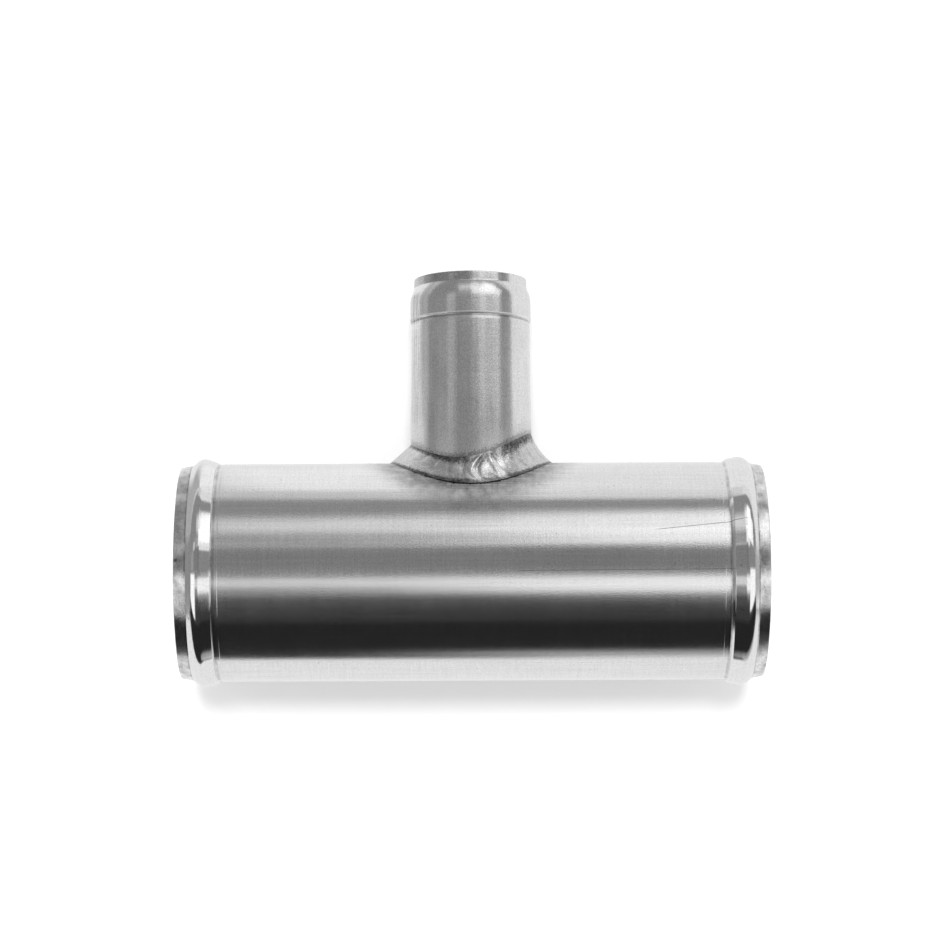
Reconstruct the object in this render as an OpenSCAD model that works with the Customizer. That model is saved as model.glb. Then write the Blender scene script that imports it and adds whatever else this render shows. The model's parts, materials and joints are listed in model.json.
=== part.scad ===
// Welded aluminium hose tee: a beaded run tube with a smaller beaded branch tube welded to its side.
// The run tube lies along X, and the origin is where the centre lines of the two tubes cross.
// The tee lies as it comes to rest, on its two run beads and on the bead of the branch.

/* [Run tube] */
// Outside diameter of the run tube
run_od = 57; // [50:0.5:76]
// Length of the run tube from end to end
run_length = 151.5; // [120:0.5:220]
// Wall of the run tube
run_wall = 2; // [1.5:0.1:2.5]

/* [Run tube ends] */
// Height of the rolled beads above the run tube
bead_height = 1.4; // [1:0.1:1.8]
// Width of the left bead at its foot
left_bead_width = 6.3; // [5.5:0.1:8.5]
// Width of the right bead at its foot
right_bead_width = 6.7; // [5.5:0.1:8.5]
// Length of the lip beyond each bead
end_lip = 3.1; // [2:0.1:5]
// Drop from the run tube's outside to the lip beside the bead
lip_drop = 0.35; // [0.1:0.05:0.5]
// Further drop of the lip's outside at its open edge
lip_taper = 0.5; // [0.1:0.05:0.7]
// Rounding of the hollow at the foot of each bead
bead_foot_round = 0.4; // [0.2:0.1:1]
// Width of the band beside each bead that the forming roller presses down
roller_band = 1.5; // [1:0.1:3]
// Depth of that band
roller_band_depth = 0.06; // [0.02:0.01:0.12]
// Rounding of every open tube edge
edge_round = 0.25; // [0.1:0.05:0.3]

/* [Branch tube] */
// Outside diameter of the branch tube
branch_od = 31.8; // [24:0.1:38]
// Wall of the branch tube
branch_wall = 2; // [1.5:0.1:2.5]
// Height of the branch's rim above the side of the run tube
branch_height = 49; // [44:0.5:80]

/* [Branch tube end] */
// Amount by which the forming of the end draws the branch tube's outside in
draw_in = 0.25; // [0.1:0.05:0.4]
// Length of the easy slope where the branch tube is drawn in
draw_slope = 12; // [6:0.5:15]
// Length of the drawn-in stretch between that slope and the bead
draw_length = 15; // [8:0.5:18]
// Height of the branch's bead above the drawn-in stretch
branch_bead_height = 0.3; // [0.2:0.05:0.6]
// Length of the step up to the bead
bead_step = 0.8; // [0.6:0.1:1.2]
// Depth of the groove that the forming roller leaves at the foot of the step
roller_groove = 0.1; // [0.05:0.05:0.2]
// Width of the branch's bead from its foot to its shoulder
branch_bead_width = 7.3; // [7:0.1:12]
// Rounding of the branch bead's shoulder, which runs down to the neck in one long curve
branch_shoulder_round = 9; // [4:0.5:9]
// Length of the slope from the bead's shoulder down to the lip
neck_length = 2.1; // [2:0.1:4]
// Drop from the branch tube's outside to its lip
neck_drop = 0.95; // [0.6:0.05:1.1]
// Length of the branch's lip
branch_lip = 2.4; // [1.5:0.1:4]

/* [Weld] */
// Mean height of the weld up the branch tube
weld_climb = 5.8; // [4:0.1:7]
// Extra height of the weld at its right side, and the height missing at its left
weld_side_rise = 1.3; // [0:0.1:1.8]
// Wander of the weld's upper edge, twice round the branch
weld_wander = 0.9; // [0:0.1:1.6]
// Spread of the weld along the run tube
weld_spread = 5.6; // [4:0.1:8]
// Share of the spread that is lost where the run tube's side falls away
weld_squeeze = 0.45; // [0:0.01:0.5]
// Depth of the hollow in the weld's face at its right side
weld_hollow = 1; // [0:0.1:1.2]
// Pitch of the ripples along the weld
ripple_pitch = 4.2; // [3:0.1:6]
// Height of the ripples
ripple_height = 0.22; // [0:0.01:0.4]
// Place of the tie-in round the branch, where the weld starts and ends
tie_in_angle = 281; // [180:1:360]
// Angle between the two crescents of the tie-in
tie_in_gap = 9; // [6:1:20]
// Height of the two crescents at the tie-in
tie_in_height = 0.45; // [0:0.05:0.8]

/* [Hidden] */
$fn = 144;

metal = [0.78, 0.78, 0.79];
weld_metal = [0.66, 0.66, 0.67];

run_r = run_od / 2;
branch_r = branch_od / 2;
lip_bore_r = run_r - lip_drop - run_wall;
port_r = branch_r - branch_wall;
crest_r = run_r + bead_height;
through = 2 * run_r + run_length;

// Levels along the branch, measured from the run tube's centre line
rim_level = run_r + branch_height;
lip_level = rim_level - branch_lip;
shoulder_level = lip_level - neck_length;
foot_level = shoulder_level - branch_bead_width;
draw_end = foot_level - draw_length;
drawn_r = branch_r - draw_in;
shoulder_r = drawn_r + branch_bead_height;
branch_lip_r = branch_r - neck_drop;

// The branch rests on its bead's rounded shoulder, whose arc has its centre here
neck_turn = atan((shoulder_r - branch_lip_r) / neck_length);
rest_level = shoulder_level - branch_shoulder_round * tan(neck_turn / 2);
rest_r = shoulder_r - branch_shoulder_round;
// Angle by which the branch dips below level when its bead and the run's beads lie on one plane
dip = asin((crest_r - branch_shoulder_round) / norm([rest_level, rest_r])) - atan2(rest_r, rest_level);

// Roundings at the foot of the neck, at the branch bead's step and beside the roller's groove
neck_round = 0.6;
step_round = 0.6;
groove_round = 2;

degrees_per_facet = 6;
function reversed(list) = [for (i = [len(list) - 1:-1:0]) list[i]];

// A section is a path of corners [along, out, rounding]. Roundings that would meet share the edge.
function flat(corner) = [corner.x, corner.y];
function heading(from, to) = (flat(to) - flat(from)) / norm(flat(to) - flat(from));
function half_corner(path, i) =
    acos(max(-1, min(1, heading(path[i], path[i - 1]) * heading(path[i], path[i + 1])))) / 2;
function reach(path, i) =
    i == 0 || i == len(path) - 1 ? 0 : path[i].z / tan(half_corner(path, i));
function shared(path, i, j) =
    norm(flat(path[i]) - flat(path[j])) / max(0.001, reach(path, i) + reach(path, j));
function limited_reach(path, i) =
    reach(path, i) * min(1, 0.98 * shared(path, i, i - 1), 0.98 * shared(path, i, i + 1));
function signed_turn(angle) = angle > 180 ? angle - 360 : angle < -180 ? angle + 360 : angle;

function corner_arc(path, i) =
    let (
        at = flat(path[i]),
        back = heading(path[i], path[i - 1]),
        ahead = heading(path[i], path[i + 1]),
        half = half_corner(path, i),
        length = limited_reach(path, i),
        radius = length * tan(half),
        centre = at + (back + ahead) / norm(back + ahead) * length / cos(half),
        first = at + back * length - centre,
        last = at + ahead * length - centre,
        start = atan2(first.y, first.x),
        turn = signed_turn(atan2(last.y, last.x) - start),
        steps = max(2, ceil(abs(turn) / degrees_per_facet))
    )
    [for (k = [0:steps]) centre + radius * [cos(start + turn * k / steps), sin(start + turn * k / steps)]];

function rounded(path) = [
    for (i = [0:len(path) - 1])
        each i == 0 || i == len(path) - 1 || path[i].z == 0 ? [flat(path[i])] : corner_arc(path, i)
];

// The same path moved inwards by a wall, so that a formed tube keeps its wall through every bend
function outward(from, to) = let (h = heading(from, to)) [-h.y, h.x];
function turns_outward(a, b, c) = cross(heading(a, b), heading(b, c)) > 0;
function inset(path, wall) = [
    for (i = [1:len(path) - 2])
        let (
            n = outward(path[i - 1], path[i]),
            m = outward(path[i], path[i + 1]),
            at = flat(path[i]) - (n + m) * wall / (1 + n * m),
            change = turns_outward(path[i - 1], path[i], path[i + 1]) ? wall : -wall
        )
        [at.x, at.y, max(0, path[i].z + change)]
];

// A rolled bead is a ridge with straight flanks and one round crest, and its lip side drops further.
// Its flanks are steeper than a straight line from foot to crest, so that the crest is broad.
flank_steepness = 1.95;
function flank_angle(width) = flank_steepness * atan(2 * bead_height / width);
function crest_round(width) =
    let (slope = flank_angle(width)) (width / 2 * tan(slope) - bead_height) / (1 / cos(slope) - 1);
function bead(width) =
    let (
        slope = flank_angle(width),
        outer_foot = run_length / 2 - end_lip,
        inner_foot = outer_foot - lip_drop / tan(slope) - width
    ) [
        [inner_foot, run_r, bead_foot_round],
        [inner_foot + width / 2, run_r + width / 2 * tan(slope), crest_round(width)],
        [outer_foot, run_r - lip_drop, bead_foot_round]
    ];
// On the outside, the forming roller also presses down a narrow band beside the bead
function pressed(corners) =
    let (foot = corners[0])
    concat(
        [
            [foot.x - roller_band - roller_band_depth, foot.y, edge_round],
            [foot.x - roller_band, foot.y - roller_band_depth, edge_round],
            [foot.x, foot.y - roller_band_depth, foot.z]
        ],
        [corners[1], corners[2]]
    );
function mirrored(corners) = reversed([for (corner = corners) [-corner.x, corner.y, corner.z]]);

run_end = run_length / 2;
lip_r = run_r - lip_drop;
rim_r = lip_r - lip_taper;
rim_middle_r = (rim_r + lip_bore_r) / 2;
run_outside = concat(
    [[-run_end, rim_middle_r, 0], [-run_end, rim_r, edge_round]],
    mirrored(pressed(bead(left_bead_width))),
    pressed(bead(right_bead_width)),
    [[run_end, rim_r, edge_round], [run_end, rim_middle_r, 0]]
);
run_inside = concat(
    [[-run_end, rim_middle_r, 0], [-run_end, lip_bore_r, edge_round]],
    inset(
        concat(
            [[-run_end, lip_r, 0]],
            mirrored(bead(left_bead_width)),
            bead(right_bead_width),
            [[run_end, lip_r, 0]]
        ),
        run_wall
    ),
    [[run_end, lip_bore_r, edge_round], [run_end, rim_middle_r, 0]]
);

branch_end = [
    [foot_level - bead_step, drawn_r, groove_round],
    [foot_level, drawn_r - roller_groove, step_round],
    [foot_level + bead_step, shoulder_r, step_round],
    [shoulder_level, shoulder_r, branch_shoulder_round],
    [lip_level, branch_lip_r, neck_round]
];
branch_outside = concat(
    [[0, branch_r, 0], [draw_end - draw_slope, branch_r, 0], [draw_end, drawn_r, 0]],
    branch_end,
    [[rim_level, branch_lip_r, edge_round], [rim_level, branch_lip_r - branch_wall / 2, 0]]
);
branch_inside = concat(
    [[0, port_r, 0], [draw_end - draw_slope, port_r, 0], [draw_end, drawn_r - branch_wall, 0]],
    inset(concat([[draw_end, drawn_r, 0]], branch_end, [[rim_level, branch_lip_r, 0]]), branch_wall),
    [[rim_level, branch_lip_r - branch_wall, edge_round], [rim_level, branch_lip_r - branch_wall / 2, 0]]
);

function swapped(list) = [for (p = list) [p.y, p.x]];

// Turns the wall between two paths about the tube's centre line, which here is Z
module turned(outside, inside) {
    rotate_extrude() polygon(swapped(concat(rounded(outside), reversed(rounded(inside)))));
}

// The whole space within a tube's outside
module filled(outside) turned(outside, [[outside[0].x, 0, 0], [outside[len(outside) - 1].x, 0, 0]]);

module run_axis() rotate([0, 90, 0]) children();

module run_core() run_axis() cylinder(r = run_r, h = through, center = true);

// The run tube: rolled beads, and a round port cut through its side under the branch
module run_tube() color(metal) difference() {
    run_axis() turned(run_outside, run_inside);
    cylinder(r = port_r, h = 2 * run_r);
}

// The branch tube: coped at its foot to sit on the run tube
module branch_tube() color(metal) difference() {
    turned(branch_outside, branch_inside);
    run_core();
}

// The weld, at an angle round the branch. Its section's points are [from the branch's axis, level]
ripples = round(PI * (branch_od + weld_spread) / ripple_pitch);
// Depth below both tubes' skins to which the ring is drawn before it is cut back to them
root_depth = 1.2;
// Share of the face that is drawn past each toe, so that the cut finds its edge
overrun = 0.12;
face_steps = 8;
rings = 180;
// Angle by which the upper edge's wander is shifted round the branch
wander_start = 48;

function side_level(angle, out) = sqrt(run_r ^ 2 - (out * sin(angle)) ^ 2);
function upper_toe(angle) =
    [branch_r, side_level(angle, branch_r) + weld_climb + weld_side_rise * cos(angle)
        + weld_wander * cos(2 * angle + wander_start)];
function lower_toe(angle) =
    let (out = branch_r + weld_spread * (1 - weld_squeeze * sin(angle) ^ 2)) [out, side_level(angle, out)];

// Each ripple rises fast and falls slowly along the weld, and is bowed across it
rising_share = 0.3;
ripple_bow = 0.6;
// The first crescent of the tie-in is bowed and the second one slants, and each has a hollow behind it
crescent_bow = 11;
crescent_slant = 10;
crescent_spread = 2.6;
crescent_hollow = 0.6;
function puddle(f) =
    f < rising_share ? sin(90 * f / rising_share) : cos(90 * (f - rising_share) / (1 - rising_share));
function fraction(x) = x - floor(x);
function bow(t) = 1 - (2 * t - 1) ^ 2;
// The ripples are strong on the weld's right side and nearly smooth on its left
function unevenness(angle) =
    0.7 + 0.35 * cos(angle - 20) + 0.15 * sin(3 * angle + 40) + 0.1 * sin(7 * angle);
function ripple(angle, t) =
    ripple_height * unevenness(angle) * puddle(fraction(ripples * angle / 360 + ripple_bow * bow(t)));
function ridge(angle) = exp(-(angle / crescent_spread) ^ 2);
function crescent(angle) =
    tie_in_height * (ridge(angle) - crescent_hollow * ridge(angle - 2 * crescent_spread));
function relief(angle, t) =
    let (past = angle - tie_in_angle)
    max(0, bow(t)) * (ripple(angle, t) + crescent(past + crescent_bow * bow(t))
        + crescent(past - tie_in_gap - crescent_slant * (t - 0.5)));

function weld_section(angle) =
    let (
        top = upper_toe(angle),
        toe = lower_toe(angle),
        way = (toe - top) / norm(toe - top),
        out = [-way.y, way.x],
        hollow = weld_hollow * (1 + cos(angle)) / 2
    )
    concat(
        [for (k = [0:face_steps])
            let (t = -overrun + (1 + 2 * overrun) * k / face_steps)
            top + (toe - top) * t + out * (relief(angle, t) - hollow * max(0, bow(t)))],
        [[branch_r - root_depth, side_level(angle, branch_r) - root_depth]]
    );

// The fillet of weld metal: a swept ring cut back to the two tubes that it joins
module weld_bead() color(weld_metal) difference() {
    sections = [for (i = [0:rings - 1]) weld_section(360 * i / rings)];
    count = len(sections[0]);
    polyhedron(
        points = [
            for (i = [0:rings - 1], p = sections[i])
                [p.x * cos(360 * i / rings), p.x * sin(360 * i / rings), p.y]
        ],
        faces = [
            for (i = [0:rings - 1], j = [0:count - 1])
                let (next = (i + 1) % rings, up = (j + 1) % count)
                [i * count + j, next * count + j, next * count + up, i * count + up]
        ]
    );
    run_core();
    filled(branch_outside);
}

// Lays the tee down: the branch points along +Y and dips until its bead meets the plane under the run
module at_rest() rotate([-90 - dip, 0, 0]) children();

at_rest() run_tube();
at_rest() branch_tube();
at_rest() weld_bead();
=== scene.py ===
import json
import math

import bpy
from mathutils import Matrix, Vector


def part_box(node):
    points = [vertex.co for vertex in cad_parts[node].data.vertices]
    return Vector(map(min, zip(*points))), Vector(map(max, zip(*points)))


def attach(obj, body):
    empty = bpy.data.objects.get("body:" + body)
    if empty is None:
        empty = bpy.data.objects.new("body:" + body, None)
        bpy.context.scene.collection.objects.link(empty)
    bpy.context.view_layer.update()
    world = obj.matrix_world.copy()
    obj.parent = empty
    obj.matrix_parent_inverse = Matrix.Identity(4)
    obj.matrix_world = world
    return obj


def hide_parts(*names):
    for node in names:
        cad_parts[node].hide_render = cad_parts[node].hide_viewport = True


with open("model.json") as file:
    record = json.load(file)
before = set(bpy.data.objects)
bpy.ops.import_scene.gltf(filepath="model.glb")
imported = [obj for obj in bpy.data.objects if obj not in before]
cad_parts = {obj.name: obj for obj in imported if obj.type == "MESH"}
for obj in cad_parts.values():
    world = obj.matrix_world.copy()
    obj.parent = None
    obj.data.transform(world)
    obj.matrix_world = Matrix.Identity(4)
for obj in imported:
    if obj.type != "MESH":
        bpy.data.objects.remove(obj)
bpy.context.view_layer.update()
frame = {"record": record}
MM = 0.001

# The camera looks down on the tee as it lies on the table, from three quarters of a metre through a long
# lens. It leans a few degrees towards the branch, and is turned by a quarter of a degree.
camera_height = 770.7
camera_aside = Vector((-0.48, 26.69))
camera_lean = math.radians(-4.5)
camera_roll = math.radians(-0.274)
camera_swing = math.radians(-0.15)
camera = bpy.data.objects.new("camera", bpy.data.cameras.new("camera"))
camera.data.sensor_width = 36
camera.data.lens = 112.5
camera.data.clip_start = 0.05
leaning = Matrix.Rotation(camera_lean, 4, "X")
camera.matrix_world = (
    leaning
    @ Matrix.Rotation(camera_swing, 4, "Y")
    @ Matrix.Rotation(camera_roll, 4, "Z")
    @ Matrix.Translation((camera_aside.x * MM, camera_aside.y * MM, camera_height * MM))
)
bpy.context.scene.collection.objects.link(camera)
bpy.context.scene.camera = camera
bpy.context.scene.view_settings.view_transform = "Standard"

# The table is a sheet of white paper. The two run beads and the branch's bead touch it.
table_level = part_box("run_tube")[0].z
table_reach = 6.0
paper_white = 0.88
table_mesh = bpy.data.meshes.new("table")
corners = [(x * table_reach, y * table_reach, table_level) for x, y in ((-1, -1), (1, -1), (1, 1), (-1, 1))]
table_mesh.from_pydata(corners, [], [(0, 1, 2, 3)])
table = bpy.data.objects.new("table", table_mesh)
bpy.context.scene.collection.objects.link(table)
paper = bpy.data.materials.new("white paper")
paper.use_nodes = True
paper_shader = paper.node_tree.nodes["Principled BSDF"].inputs
paper_shader["Base Color"].default_value = (paper_white, paper_white, paper_white, 1)
paper_shader["Roughness"].default_value = 0.9
paper_shader["Specular IOR Level"].default_value = 0.1
table_mesh.materials.append(paper)
table.visible_glossy = False

# Daylight fills the room evenly, and one soft lamp from behind throws the short shadow in front of the tee.
room_light = 1.0
lamp_light = 1.9
lamp_tilt = 21
lamp_breadth = 13
room = bpy.data.worlds.new("room")
room.use_nodes = True
room.node_tree.nodes["Background"].inputs["Color"].default_value = (1, 1, 1, 1)
room.node_tree.nodes["Background"].inputs["Strength"].default_value = room_light
bpy.context.scene.world = room
lamp = bpy.data.objects.new("lamp", bpy.data.lights.new("lamp", "SUN"))
lamp.data.energy = lamp_light
lamp.data.angle = math.radians(lamp_breadth)
lamp.rotation_euler = (math.radians(-lamp_tilt), 0, 0)
lamp.visible_glossy = False
bpy.context.scene.collection.objects.link(lamp)

# A light tent arches over the tee from one side of the paper to the other, and its floor is white too.
# Its degrees go from 0 overhead to 90 behind the branch and -90 at the front. It leans as the camera does.
tent_radius = 400
tent_reach = 1100
tent_floor = table_level / MM - 0.6
tent_foot = math.degrees(math.acos(tent_floor / tent_radius))
tent_light = 0.27
left_end_light, right_end_light, right_foot_height = 0.27, 0.4, 66
floor_light = 0.86
left_floor_light, beside_branch_light = 0.44, 0.95
dim_from, dim_to, dim_past_run, dim_soft = -110, -58, 55, 10
front_edge_light, front_edge, front_edge_soft, right_share = 0.05, -245, 40, 0.35


class Shade:
    """One output of a node. Sums and products of it add Math nodes to the same tree."""

    def __init__(self, tree, socket=None):
        self.tree = tree
        self.socket = socket

    def node(self, kind, settings=None, inputs=None, output=0):
        """Adds a node, sets its settings, then gives its sockets their values or links."""
        made = self.tree.nodes.new(kind)
        for name, value in (settings or {}).items():
            setattr(made, name, value)
        for name, value in (inputs or {}).items():
            if isinstance(value, Shade):
                self.tree.links.new(value.socket, made.inputs[name])
            else:
                made.inputs[name].default_value = value
        return Shade(self.tree, made.outputs[output])

    def math(self, operation, *values):
        return self.node("ShaderNodeMath", {"operation": operation}, dict(enumerate(values)))

    def __add__(self, other):
        return self.math("ADD", self, other)

    def __sub__(self, other):
        return self.math("SUBTRACT", self, other)

    def __mul__(self, other):
        return self.math("MULTIPLY", self, other)

    def __truediv__(self, other):
        return self.math("DIVIDE", self, other)

    def __radd__(self, other):
        return self.math("ADD", other, self)

    def __rsub__(self, other):
        return self.math("SUBTRACT", other, self)

    def __rmul__(self, other):
        return self.math("MULTIPLY", other, self)

    def __rtruediv__(self, other):
        return self.math("DIVIDE", other, self)

    def root(self):
        return self.math("SQRT", self)

    def size(self):
        return self.math("ABSOLUTE", self)

    def least(self, other):
        return self.math("MINIMUM", self, other)

    def most(self, other):
        return self.math("MAXIMUM", self, other)

    def rise(self, low, high, to_low=0.0, to_high=1.0):
        """Goes smoothly from to_low to to_high as the value goes from low to high."""
        inputs = {0: self, 1: low, 2: high, 3: to_low, 4: to_high}
        return self.node("ShaderNodeMapRange", {"interpolation_type": "SMOOTHSTEP"}, inputs)

    def fall(self, low, high):
        """Goes smoothly from 1 to 0 as the value goes from low to high."""
        return self.rise(low, high, 1.0, 0.0)

    def between(self, low, high, soft):
        """1 from low to high, falling to 0 over a soft width outside."""
        return self.rise(low - soft, low) * self.fall(high, high + soft)

    def toward(self, other, share):
        """This value, or the other one where the share is 1."""
        return self + (other - self) * share


def glowing(name, points, faces, pose, light, cards, finish):
    """A cloth that only the metal sees. Cards on it cover some degrees round its Z axis and some length.

    Each card is from degree, to degree, soft, from mm, to mm, soft, brightness. Degree 0 is along local X.
    The finish function changes the glow once the cards are on it, by the place on the cloth.
    """
    mesh = bpy.data.meshes.new(name)
    mesh.from_pydata([Vector(p) * MM for p in points], [], faces)
    cloth = bpy.data.objects.new(name, mesh)
    bpy.context.scene.collection.objects.link(cloth)
    cloth.matrix_world = pose
    cloth.visible_camera = False
    cloth.visible_diffuse = False
    cloth.visible_shadow = False
    cloth.visible_transmission = False
    material = bpy.data.materials.new(name)
    material.use_nodes = True
    tree = material.node_tree
    tree.nodes.clear()
    start = Shade(tree)
    place = start.node("ShaderNodeTexCoord", output=3)
    x, y, z = (start.node("ShaderNodeSeparateXYZ", inputs={0: place}, output=k) / MM for k in range(3))
    turn = y.math("ARCTAN2", y, x) * math.degrees(1)
    glow = turn * 0 + light
    for low, high, soft, left, right, soft_end, bright in cards:
        glow = glow.toward(bright, turn.between(low, high, soft) * z.between(left, right, soft_end))
    glow = finish(glow, x, y, z)
    shine = start.node("ShaderNodeEmission", inputs={"Strength": glow})
    tree.links.new(shine.socket, tree.nodes.new("ShaderNodeOutputMaterial").inputs["Surface"])
    mesh.materials.append(material)


def arch(radius, low, high, near, far, rows=96):
    """A part of a cylinder round Z, from one degree to another and from one length to another."""
    points, faces = [], []
    for row in range(rows + 1):
        turn = math.radians(low + (high - low) * row / rows)
        for end in (near, far):
            points.append((radius * math.cos(turn), radius * math.sin(turn), end))
        if row:
            k = 2 * row
            faces.append((k - 2, k - 1, k + 1, k))
    return points, faces


tent_cards = [
    # Low behind the branch, down to the paper.
    (96, 130, 13, -2000, 2000, 10, 0.82),
    (83.5, 130, 2, -85, 2000, 50, 0.6),
    (82.5, 130, 2, 20, 2000, 60, 0.78),
    # Overhead, on the branch's side: what the upper half of the run and the branch's front see.
    (48.5, 52.5, 13, -110, 307, 40, 0.72),
    (52, 57, 15, 20, 307, 30, 0.95),
    (31, 36, 3, -200, 2000, 50, 0.35),
    (27.3, 28.6, 1.6, -110, 10, 35, 0.52),
    (30, 45.5, 1.5, 30, 130, 25, 1.0),
    (34, 45.5, 3, 130, 520, 25, 1.0),
    (44, 45.5, 0.8, 30, 520, 25, 1.25),
    (33, 60, 3, 190, 480, 50, 1.05),
    (38, 66, 5, 130, 290, 20, 1.25),
    # Straight overhead: the grey gap between the cloths, darker on the right.
    (6, 26, 3, -260, 170, 40, 0.22),
    (5, 26, 3, 25, 640, 25, 0.19),
    (6, 26, 3, 135, 1300, 50, 0.26),
    (26.5, 33, 1.5, 112, 200, 25, 0.85),
    (6, 26, 3, -720, -380, 110, 0.34),
    (26.5, 33, 2, -345, -220, 40, 0.62),
    # The bright edge of the front cloth, then the dark front below it.
    (-10.5, -6, 4.5, -2000, 2000, 10, 0.68),
    (-15, -7, 8, 10, 640, 25, 0.99),
    (-130, -26, 9, -2000, 20, 30, 0.075),
    (-130, -30, 9, 20, 2000, 30, 0.075),
    (-130, -37, 8, -2000, 2000, 10, 0.045),
    (-130, -53, 8, -2000, 2000, 10, 0.019),
    (-130, -92, 9, 20, 2000, 60, 0.40),
    # White cards at both ends of the front, which the polished beads see.
    (-44, -1, 4, -2000, -240, 40, 1.10),
    (-38, 2, 4, 220, 2000, 40, 1.05),
]
points, faces = arch(tent_radius, -tent_foot, tent_foot, -tent_reach, tent_reach)
last = len(points)
faces += [(0, last - 2, last - 1, 1), tuple(range(0, last, 2)), tuple(range(1, last, 2))]


def ends_and_floor(glow, height, across, along):
    """The tent's ends are plain grey, with a white foot on the right.

    Its floor is dimmer on the left behind the run. It is nearly black beyond its front edge on the left, and
    grey there on the right.
    """
    at_end = along.size().rise(tent_reach - 2, tent_reach - 1)
    side = along.rise(-1, 1, left_end_light, right_end_light)
    foot = height.fall(right_foot_height - 2, right_foot_height + 2) * along.rise(-1, 1)
    glow = glow.toward(side.toward(floor_light, foot), at_end)
    left = along.rise(dim_from, dim_to, left_floor_light, beside_branch_light)
    dimmed = left.least(along.rise(-20, 0, 1.0, floor_light))
    behind = across.rise(dim_past_run - dim_soft, dim_past_run + dim_soft)
    floor = behind * (dimmed - floor_light) + floor_light
    front = across.fall(front_edge - front_edge_soft, front_edge)
    front = front * along.rise(0, 60, 1.0, right_share)
    floor = floor.toward(front_edge_light, front)
    return glow.toward(floor, height.fall(tent_floor + 0.1, tent_floor + 0.2))


overhead = Matrix(((0, 0, 1, 0), (0, 1, 0, 0), (1, 0, 0, 0), (0, 0, 0, 1)))
glowing("light_tent", points, faces, leaning @ overhead, tent_light, tent_cards, ends_and_floor)

# Run tube: a length of drawn aluminium tube with a wall of 2 mm, finely brushed along its middle. A bead is
# rolled near each end, the lip beyond it is drawn in, and both are polished. A round port is cut in its side.
run_r, run_length, run_wall = 28.5, 151.5, 2.0
bead_height, lip_drop, lip_taper = 1.4, 0.35, 0.5
bead_foot_round, step_top_round, edge_round = 0.12, 0.25, 0.25
roller_band, roller_band_depth = 1.5, 0.06
branch_r, branch_wall = 15.9, 2.0
port_r = branch_r - branch_wall
run_facets, cutter_facets, sharp_edge = 240, 160, 35
branch_mount = next(m for m in frame["record"]["mounts"] if m["name"] == "branch_bore")
branch_way = Vector(branch_mount["axis"])
branch_pose = Matrix.Rotation(math.radians(-90) + math.asin(branch_way.z), 4, "X")


def rounded(path, degrees=5):
    """The points of a section whose corners are [along, out, rounding]."""
    points = []
    flat = [Vector(corner[:2]) for corner in path]

    def reach(i):
        if i in (0, len(path) - 1) or path[i][2] == 0:
            return 0.0
        half = (flat[i - 1] - flat[i]).angle(flat[i + 1] - flat[i]) / 2
        return path[i][2] / math.tan(half)

    for i, at in enumerate(flat):
        if reach(i) == 0:
            points.append(at)
            continue
        back, ahead = (flat[i - 1] - at).normalized(), (flat[i + 1] - at).normalized()
        half = back.angle(ahead) / 2
        # Two neighbouring roundings share the stretch between them, with a little left over.
        shares = [0.98 * (at - flat[j]).length / max(0.001, reach(i) + reach(j)) for j in (i - 1, i + 1)]
        length = reach(i) * min(1, *shares)
        radius = length * math.tan(half)
        centre = at + (back + ahead).normalized() * length / math.cos(half)
        first, last = at + back * length - centre, at + ahead * length - centre
        begin = math.atan2(first.y, first.x)
        sweep = (math.atan2(last.y, last.x) - begin + math.pi) % (2 * math.pi) - math.pi
        steps = max(2, math.ceil(abs(math.degrees(sweep)) / degrees))
        for k in range(steps + 1):
            angle = begin + sweep * k / steps
            points.append(centre + radius * Vector((math.cos(angle), math.sin(angle))))
    return points


def inset(path, wall):
    """The inner side of a tube's wall, which keeps its thickness through every bend."""
    moved = []
    for before, corner, after in zip(path, path[1:], path[2:]):
        a, b, c = (Vector(p[:2]) for p in (before, corner, after))
        first, second = (b - a).normalized(), (c - b).normalized()
        n, m = Vector((-first.y, first.x)), Vector((-second.y, second.x))
        at = b - (n + m) * wall / (1 + n.dot(m))
        change = wall if first.cross(second) > 0 else -wall
        moved.append((at.x, at.y, max(0, corner[2] + change)))
    return moved


def graded(points, near=0.5, longest=4.0):
    """Adds points to long straight stretches, close to their ends too, so that the shading stays true."""
    graded_points = [points[0]]
    for a, b in zip(points, points[1:]):
        length = (b - a).length
        if length > 3 * near:
            steps = max(1, math.ceil((length - 2 * near) / longest))
            for k in range(steps + 1):
                graded_points.append(a.lerp(b, (near + (length - 2 * near) * k / steps) / length))
        graded_points.append(b)
    return graded_points


def tube_mesh(name, outside, inside, facets, foot=None):
    """Turns a wall's section about Z. A foot function gives the level of its first points instead."""
    loop = graded(rounded(outside))
    loop += list(reversed(graded(rounded(inside))))
    kept = [p for p, q in zip(loop, loop[1:] + loop[:1]) if (p - q).length > 1e-4]
    count = len(kept)
    points, faces = [], []
    for i in range(facets):
        angle = 2 * math.pi * i / facets
        for p in kept:
            level = p.x if foot is None else foot(p, angle)
            points.append(Vector((p.y * math.cos(angle), p.y * math.sin(angle), level)) * MM)
        for j in range(count):
            i2, j2 = (i + 1) % facets, (j + 1) % count
            faces.append((i * count + j, i2 * count + j, i2 * count + j2, i * count + j2))
    mesh = bpy.data.meshes.new(name)
    mesh.from_pydata(points, [], faces)
    mesh.update()
    return mesh


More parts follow.
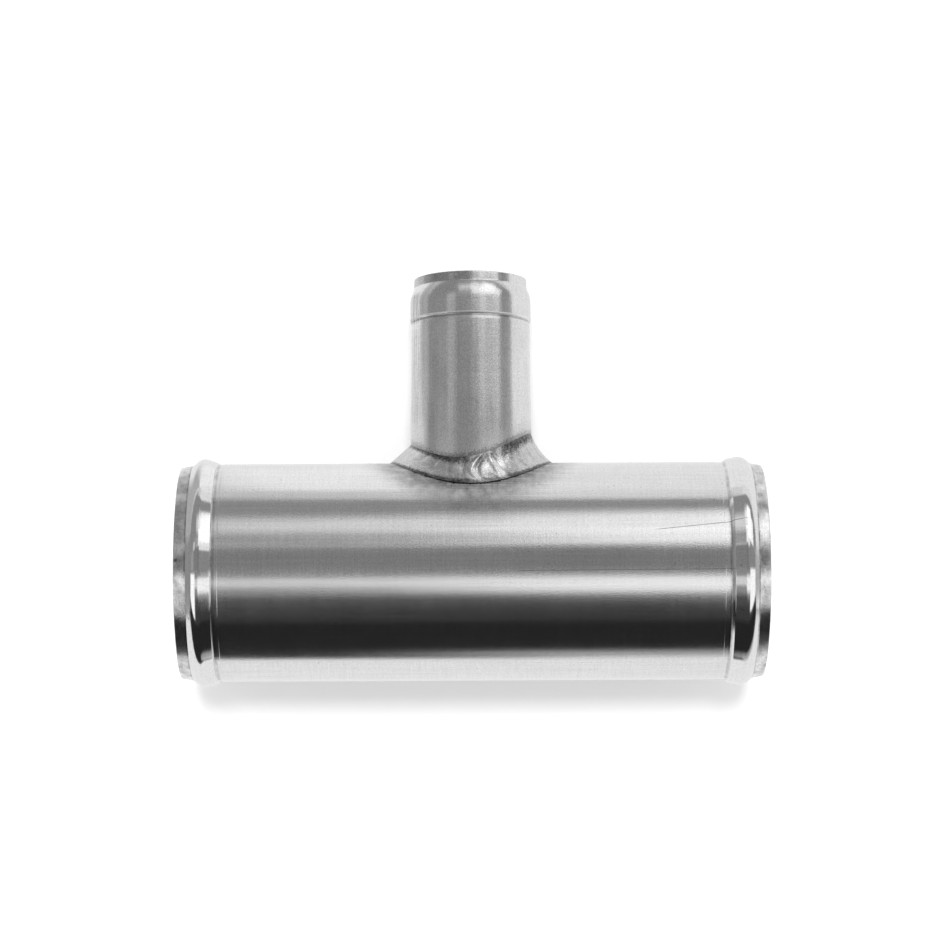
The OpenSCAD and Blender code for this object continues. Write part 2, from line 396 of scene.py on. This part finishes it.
def bead(inner_foot, outer_foot, step, step_height, crown, flank):
    """A bead that starts with a sharp step, rises gently to its crest and falls steeply to the lip.

    The roller also presses down a narrow band of the tube beside it. The crown and the flank are in degrees.
    """
    rise, fall = math.tan(math.radians(crown)), math.tan(math.radians(flank))
    across = outer_foot - inner_foot - step
    over_fall = (across * rise + step_height + lip_drop) / (rise + fall)
    apex = fall * over_fall - lip_drop
    half = math.radians(180 - crown - flank) / 2
    lean = math.radians(flank - crown) / 2
    crest_round = (apex - bead_height) / (math.cos(lean) / math.sin(half) - 1)
    return [
        (inner_foot - roller_band - roller_band_depth, run_r, edge_round),
        (inner_foot - roller_band, run_r - roller_band_depth, edge_round),
        (inner_foot, run_r - roller_band_depth, bead_foot_round),
        (inner_foot + step, run_r + step_height, step_top_round),
        (outer_foot - over_fall, run_r + apex, crest_round),
        (outer_foot, run_r - lip_drop, bead_foot_round),
    ]


def mirrored(corners):
    return [(-x, y, r) for x, y, r in reversed(corners)]


run_end = run_length / 2
lip_r = run_r - lip_drop
rim_r = lip_r - lip_taper
lip_bore_r = lip_r - run_wall
rim_middle_r = (rim_r + lip_bore_r) / 2
left_bead = bead(inner_foot=66.15, outer_foot=72.65, step=0.2, step_height=0.4, crown=19, flank=41)
right_bead = bead(inner_foot=65.75, outer_foot=73.0, step=0.9, step_height=0.8, crown=12, flank=41)
run_outside = (
    [(-run_end, rim_middle_r, 0), (-run_end, rim_r, edge_round)]
    + mirrored(left_bead)
    + right_bead
    + [(run_end, rim_r, edge_round), (run_end, rim_middle_r, 0)]
)
beads = mirrored(left_bead[2:]) + right_bead[2:]
run_inside = (
    [(-run_end, rim_middle_r, 0), (-run_end, lip_bore_r, edge_round)]
    + inset([(-run_end, lip_r, 0)] + beads + [(run_end, lip_r, 0)], run_wall)
    + [(run_end, lip_bore_r, edge_round), (run_end, rim_middle_r, 0)]
)
run = bpy.data.objects.new("run_tube_metal", tube_mesh("run tube", run_outside, run_inside, run_facets))
bpy.context.scene.collection.objects.link(run)

# The port: the wall is cut with a round cutter that stands on the branch's centre line.
cutter_points, cutter_faces = [], []
cutter_way = Vector((branch_way.y, branch_way.z, 0))
cutter_across = Vector((-cutter_way.y, cutter_way.x, 0))
for k in range(cutter_facets):
    angle = 2 * math.pi * k / cutter_facets
    rim = (cutter_across * math.cos(angle) + Vector((0, 0, 1)) * math.sin(angle)) * port_r
    cutter_points += [rim * MM, (rim + cutter_way * 2 * run_r) * MM]
    n = 2 * ((k + 1) % cutter_facets)
    cutter_faces.append((2 * k, n, n + 1, 2 * k + 1))
cutter_faces += [tuple(range(2 * cutter_facets - 2, -2, -2)), tuple(range(1, 2 * cutter_facets, 2))]
cutter_mesh = bpy.data.meshes.new("cutter")
cutter_mesh.from_pydata(cutter_points, [], cutter_faces)
cutter = bpy.data.objects.new("cutter", cutter_mesh)
bpy.context.scene.collection.objects.link(cutter)
cut = run.modifiers.new("port", "BOOLEAN")
cut.operation = "DIFFERENCE"
cut.object = cutter
bpy.context.view_layer.update()
whole = run.evaluated_get(bpy.context.evaluated_depsgraph_get())
run_mesh = bpy.data.meshes.new_from_object(whole)
run.modifiers.clear()
run.data = run_mesh
bpy.data.objects.remove(cutter)
run_mesh.shade_smooth()
run_mesh.set_sharp_from_angle(angle=math.radians(sharp_edge))
# The tube's length lies along X, with the branch's side towards Y and the camera's side up.
run.matrix_world = Matrix(((0, 0, 1, 0), (1, 0, 0, 0), (0, 1, 0, 0), (0, 0, 0, 1)))
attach(run, "root")
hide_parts("run_tube")

# Where the weld lies on the two tubes, so that the metal beside it can be dulled by its heat.
weld_climb, weld_side_rise, weld_wander, wander_start = 5.8, 1.3, 0.9, 48
weld_spread, weld_squeeze, weld_hollow = 5.6, 0.45, 1.0

# Both tubes are finished alike: how far the brushing draws out a light, and how deep it is.
brushing, brushed_depth = 0.75, 0.018


def new_metal(name, anisotropy):
    """A bare aluminium whose brushing runs round the tube, so that light is drawn out along it."""
    metal = bpy.data.materials.new(name)
    metal.use_nodes = True
    shader = metal.node_tree.nodes["Principled BSDF"]
    shader.inputs["Metallic"].default_value = 1.0
    shader.inputs["Anisotropic"].default_value = anisotropy
    shader.inputs["Anisotropic Rotation"].default_value = 0.25
    start = Shade(metal.node_tree)
    place = start.node("ShaderNodeTexCoord", output=3)
    axes = [start.node("ShaderNodeSeparateXYZ", inputs={0: place}, output=k) / MM for k in range(3)]
    return metal, axes


def finish_metal(metal, grey, roughness, height, depth):
    """Links what varies over the surface: its grey, its roughness and its relief, with a depth in mm."""
    shader = metal.node_tree.nodes["Principled BSDF"]
    start = Shade(metal.node_tree)
    colour = start.node("ShaderNodeCombineColor", inputs={0: grey, 1: grey, 2: grey * 1.008})
    relief = start.node("ShaderNodeBump", inputs={"Height": height, "Distance": depth * MM, "Strength": 1.0})
    metal.node_tree.links.new(colour.socket, shader.inputs["Base Color"])
    metal.node_tree.links.new(roughness.socket, shader.inputs["Roughness"])
    metal.node_tree.links.new(relief.socket, shader.inputs["Normal"])


def noise(axes, across, along, detail=3.0, rough=0.55):
    """A cloud of values about a half, with so many swells to the millimetre across a tube and along it."""
    x, y, z = axes
    place = x.node("ShaderNodeCombineXYZ", inputs={0: x * across, 1: y * across, 2: z * along})
    inputs = {"Vector": place, "Scale": 1.0, "Detail": detail, "Roughness": rough}
    return x.node("ShaderNodeTexNoise", inputs=inputs)


def varied(value, *parts):
    """A value with noises added round it. Each part is a noise and how far it swings."""
    for cloud, swing in parts:
        value = value + (cloud - 0.5) * swing
    return value


run_metal, axes = new_metal("brushed run tube", brushing)
x, y, z = axes

# The beads are polished, painted shade darkens the grooves at their feet, and the lips are dull and blotched.
bead_at, bead_foot = 65.9, 72.75
polish = z.size().between(bead_at + 0.3, bead_foot - 0.2, 0.3)
painted_crease_shade = z.size().between(bead_foot - 0.05, bead_foot + 0.1, 0.2)
painted_crease_shade = painted_crease_shade.most(z.size().between(bead_at - 0.3, bead_at, 0.5) * 0.7)
lip = z.size().rise(bead_foot, bead_foot + 0.3)

# The brushing leaves a grain and rings round the tube, and the die left faint lines along it.
grain = noise(axes, 2.6, 3.4, 2.0)
rings = noise(axes, 0.1, 2.2)
lines = noise(axes, 1.9, 0.03)
clouds = noise(axes, 0.12, 0.1)
blotches = noise(axes, 0.35, 0.5, 4.0)
specks = noise(axes, 1.3, 1.3, 1.0).rise(0.74, 0.78)

# Heat dulls the outside of the tube beside the weld, and its toe is cut in, with painted shade darkening the
# groove. The toe is found as the weld is laid, from the distance to the branch's centre line and from how far
# round the branch a point lies.
level = x * branch_way.y + y * branch_way.z
side = y * branch_way.y - x * branch_way.z
from_branch = (z * z + side * side).root()
toe = branch_r + weld_spread * (1 - weld_squeeze * (side * side) / (from_branch * from_branch))
beyond_toe = from_branch - toe
outer_side = (x * x + y * y).root().rise(run_r - 1.2, run_r - 0.8)
facing = level.rise(0, 4) * outer_side
halo = (beyond_toe + (lines - 0.5) * 8).fall(0.2, 10.0) * facing
painted_undercut_shade = (beyond_toe + (grain - 0.5)).fall(0.2, 0.7) * facing

around = x.math("ARCTAN2", x, y) * math.degrees(1)
# The scratch that runs onto the right bead, and a thin line along the front: from mm, to mm along the run,
# from degree, to degree round it, and how dark.
scratches = 0.0
for from_z, to_z, from_turn, to_turn, dark in ((48.8, 68.3, 28.6, 32.8, 0.6), (13, 65, 7.0, 7.4, 0.3)):
    way = (to_turn - from_turn) / (to_z - from_z)
    off = (around - from_turn - (z - from_z) * way).size() * math.radians(run_r)
    scratches = scratches + off.rise(0.03, 0.13, dark, 0.0) * z.between(from_z, to_z, 3)
# Pits on the two beads and a nick in the left rim: centre and radius.
pits = 0.0
for pit, radius in (((-8.4, 27.8, -72.0), 0.5), ((4.7, 29.5, 67.8), 0.5), ((6.3, 27.0, -75.2), 0.7)):
    dx, dy, dz = (at - centre for at, centre in zip((x, y, z), pit))
    away = (dx * dx + dy * dy + dz * dz).root() + (grain - 0.5) * 0.6
    pits = pits + away.rise(radius * 0.4, radius, 0.5, 0.0)

run_grey = varied(0.83, (lines, 0.16), (rings, 0.12), (clouds, 0.08), (grain, 0.32))
# Painted shade goes into the groove at the weld's toe and the grooves at the bead feet; the other darkenings
# are the metal's own.
run_grey = run_grey - halo * varied(0.5, (lines, 1.2), (blotches, 0.8)) - painted_undercut_shade * 0.42 + polish * 0.03
run_grey = run_grey - scratches - pits - specks * 0.25 - painted_crease_shade * varied(0.3, (blotches, 1.0))
run_grey = run_grey - lip * varied(0.1, (blotches, 1.1))
run_rough = varied(0.18, (rings, 0.05), (clouds, 0.06)) + halo * 0.16
run_rough = run_rough.toward(0.1, polish).toward(0.26, lip)
run_height = (grain - 0.5) * (1.0 - polish * 0.75) + (rings - 0.5) * 0.4
finish_metal(run_metal, run_grey, run_rough, run_height, brushed_depth)
run_mesh.materials.clear()
run_mesh.materials.append(run_metal)

# Branch tube: a length of smaller aluminium tube, coped at its foot to sit on the run tube. Its open end is
# drawn in a little, rolled out into a low broad bead behind a small step, and necked down to a short lip.
branch_reach, branch_facets = 49, 200
rim_level = run_r + branch_reach
draw_in, draw_slope, draw_length = 0.25, 12.0, 15.0
branch_bead_height, groove_width, groove_depth, branch_bead_width = 0.3, 0.8, 0.1, 7.3
step_from, step_to, cope_margin = 0.45, 0.7, 4
branch_shoulder_round, neck_length, neck_drop, branch_lip = 9.0, 2.1, 0.95, 2.4
neck_round, step_round, groove_round, draw_round = 0.6, 0.15, 2.0, 300.0
lip_level = rim_level - branch_lip
shoulder_level = lip_level - neck_length
foot_level = shoulder_level - branch_bead_width
draw_end = foot_level - draw_length
drawn_r = branch_r - draw_in
shoulder_r = drawn_r + branch_bead_height
branch_lip_r = branch_r - neck_drop
branch_end = [
    (foot_level - groove_width, drawn_r, groove_round),
    (foot_level + step_from, drawn_r - groove_depth, step_round),
    (foot_level + step_to, shoulder_r, step_round),
    (shoulder_level, shoulder_r, branch_shoulder_round),
    (lip_level, branch_lip_r, neck_round),
]
rim_middle = (rim_level, branch_lip_r - branch_wall / 2, 0)
branch_outside = (
    [(0, branch_r, 0), (draw_end - draw_slope, branch_r, draw_round), (draw_end, drawn_r, draw_round)]
    + branch_end
    + [(rim_level, branch_lip_r, edge_round), rim_middle]
)
branch_inside = (
    [(0, port_r, 0), (draw_end - draw_slope, port_r, 0), (draw_end, drawn_r - branch_wall, 0)]
    + inset([(draw_end, drawn_r, 0)] + branch_end + [(rim_level, branch_lip_r, 0)], branch_wall)
    + [(rim_level, branch_lip_r - branch_wall, edge_round), rim_middle]
)


def side_level(angle, out):
    return math.sqrt(run_r**2 - (out * math.sin(angle)) ** 2)


def coped(point, angle):
    """Lifts the stretch below the draw so that it starts on the run tube's side."""
    top = draw_end - draw_slope - cope_margin
    foot = side_level(angle, point.y)
    return point.x if point.x >= top else foot + (top - foot) * point.x / top


branch_mesh = tube_mesh("branch tube", branch_outside, branch_inside, branch_facets, coped)
branch_mesh.shade_smooth()
branch_mesh.set_sharp_from_angle(angle=math.radians(sharp_edge))
branch = bpy.data.objects.new("branch_tube_metal", branch_mesh)
bpy.context.scene.collection.objects.link(branch)
branch.matrix_world = branch_pose
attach(branch, "root")
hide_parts("branch_tube")

branch_metal, axes = new_metal("brushed branch tube", brushing)
x, y, z = axes
grain = noise(axes, 2.8, 2.8, 2.0)
streaks = noise(axes, 2.2, 0.08)
rings = noise(axes, 0.3, 2.6)
clouds = noise(axes, 0.16, 0.12)
polish = z.rise(foot_level - 0.3, foot_level + 0.8)

# Soot and painted shade darken the branch along the weld's upper toe, which is found here as the weld is
# laid.
turned = math.radians(wander_start)
wander = ((x * x - y * y) * math.cos(turned) - x * y * (2 * math.sin(turned))) / branch_r**2
toe = (run_r**2 - y * y).root() + weld_climb + x * (weld_side_rise / branch_r) + wander * weld_wander
halo = (z - toe + (streaks - 0.5) * 3).fall(0.5, 6)
soot = (z - toe + (grain - 0.5) * 3 + (clouds - 0.5) * 2).fall(0.2, 1.6)

# The step has a painted highlight above painted shade in the groove below it, the lip's left half is burred
# and the left side is smudged.
painted_step_highlight = z.between(foot_level + 0.55, foot_level + 0.95, 0.15)
painted_step_shade = z.between(foot_level - 0.05, foot_level + 0.35, 0.2) * (streaks * 0.8 + 0.6)
burr = z.rise(lip_level - 0.2, lip_level + 0.2) * x.fall(-1, 1.5) * grain.rise(0.3, 0.6)
smudge_low, smudge_high, smudge_soft, smudge_side = 42, 60, 8, -11.5
on_tube = z.between(smudge_low, smudge_high, smudge_soft)
on_bead = z.between(foot_level, shoulder_level - 1, 1.5) * 1.6
smudge = x.fall(smudge_side - 3, smudge_side) * streaks.rise(0.3, 0.6) * on_tube.most(on_bead)

branch_grey = varied(0.8, (streaks, 0.14), (rings, 0.1), (clouds, 0.2), (grain, 0.45))
# A painted highlight on the step, painted shade in the groove below it, and soot with painted shade along the
# toe.
branch_grey = branch_grey - halo * 0.1 - soot * 0.3 - burr * 0.4 - smudge * 0.26 - painted_step_shade * 0.3 + painted_step_highlight * 0.2
branch_rough = varied(0.2, (streaks, 0.05), (clouds, 0.06)) + halo * 0.1
branch_rough = branch_rough.toward(0.17, polish) + burr * 0.15 + painted_step_highlight * 0.35
branch_height = grain - 0.5 + (streaks - 0.5) * 0.25 + (rings - 0.5) * 0.3
finish_metal(branch_metal, branch_grey, branch_rough, branch_height, brushed_depth)
branch_mesh.materials.append(branch_metal)

# Weld: one fillet of aluminium filler laid by hand round the foot of the branch. It climbs higher on its
# right side, where its face is hollow, and its start and end overlap in two raised crescents at the front.
ripple_pitch, ripple_height, rising_share, ripple_bow = 4.2, 0.22, 0.3, 0.6
tie_in_angle, tie_in_gap, tie_in_height = 281, 9, 0.45
crescent_bow, crescent_slant, crescent_spread, crescent_hollow = 11, 10, 2.6, 0.6
weld_rings, face_steps, sink = 600, 26, 0.04
laid_depth, laid_edge = 0.16, 50
ripples = round(2 * math.pi * (branch_r + weld_spread / 2) / ripple_pitch)


def crescent(degrees):
    """A ridge of the tie-in, with a hollow behind it."""
    ridge, hollow = (math.exp(-(((degrees - k) / crescent_spread) ** 2)) for k in (0, 2 * crescent_spread))
    return tie_in_height * (ridge - crescent_hollow * hollow)


def relief(degrees, share):
    """Height of the ripples and of the tie-in's crescents over the weld's plain face."""
    arch = max(0.0, 1 - (2 * share - 1) ** 2)
    phase = (ripples * degrees / 360 + ripple_bow * arch) % 1
    if phase < rising_share:
        puddle = math.sin(math.pi / 2 * phase / rising_share)
    else:
        puddle = math.cos(math.pi / 2 * (phase - rising_share) / (1 - rising_share))
    right, third, seventh = (
        math.cos(math.radians(k * degrees + start)) for k, start in ((1, -20), (3, -50), (7, -90))
    )
    height = ripple_height * (0.7 + 0.35 * right + 0.15 * third + 0.1 * seventh) * puddle
    past = degrees - tie_in_angle
    height += crescent(past + crescent_bow * arch)
    height += crescent(past - tie_in_gap - crescent_slant * (share - 0.5))
    return arch * height


weld_points, weld_faces = [], []
for k in range(weld_rings):
    degrees = 360 * k / weld_rings
    angle = math.radians(degrees)
    climb = weld_climb + weld_side_rise * math.cos(angle)
    climb += weld_wander * math.cos(2 * angle + math.radians(wander_start))
    top = Vector((branch_r - sink, side_level(angle, branch_r) + climb))
    out = branch_r + weld_spread * (1 - weld_squeeze * math.sin(angle) ** 2)
    foot = Vector((out, side_level(angle, out) - sink))
    way = (foot - top).normalized()
    proud = Vector((-way.y, way.x))
    hollow = weld_hollow * (1 + math.cos(angle)) / 2
    section = []
    for step in range(face_steps + 1):
        share = step / face_steps
        arch = 1 - (2 * share - 1) ** 2
        section.append(top.lerp(foot, share) + proud * (relief(degrees, share) - hollow * arch))
    section.append(Vector((branch_r - 2 * sink, side_level(angle, branch_r - 2 * sink) - 2 * sink)))
    count = len(section)
    weld_points += [Vector((p.x * math.cos(angle), p.x * math.sin(angle), p.y)) * MM for p in section]
    for j in range(count):
        i2, j2 = (k + 1) % weld_rings, (j + 1) % count
        weld_faces.append((k * count + j, i2 * count + j, i2 * count + j2, k * count + j2))
weld_mesh = bpy.data.meshes.new("weld")
weld_mesh.from_pydata(weld_points, [], weld_faces)
weld_mesh.shade_smooth()
weld_mesh.set_sharp_from_angle(angle=math.radians(laid_edge))
weld = bpy.data.objects.new("weld_metal", weld_mesh)
bpy.context.scene.collection.objects.link(weld)
weld.matrix_world = branch_pose
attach(weld, "root")
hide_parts("weld_bead")

filler, axes = new_metal("weld as laid", 0.0)
x, y, z = axes
mottle = noise(axes, 0.55, 0.55, 5.0, 0.65)
fine = noise(axes, 2.4, 2.4)

# Painted shade darkens its toes where it meets the tubes, and the crescents are the freshest metal, bright
# and smooth.
off_branch = (x * x + y * y).root() - branch_r
off_run = (z * z + y * y).root() - run_r
edge = ((off_branch * 0.6).least(off_run) + (fine - 0.5) * 0.4).fall(0.15, 0.6)
soot = mottle.rise(0.56, 0.68)
turn = y.math("ARCTAN2", y, x) * math.degrees(1)
fresh = turn.between(-90, -63, 5)

weld_grey = varied(0.66 + fresh * 0.24, (mottle, 0.6), (fine, 0.5)) - edge * 0.5 - soot * 0.22
weld_rough = varied(0.24, (mottle, 0.4)).toward(0.12, fresh * 0.8)
weld_height = (mottle - 0.5) * 0.6 + (fine - 0.5) * 0.35
finish_metal(filler, weld_grey, weld_rough, weld_height, laid_depth)
weld_mesh.materials.append(filler)
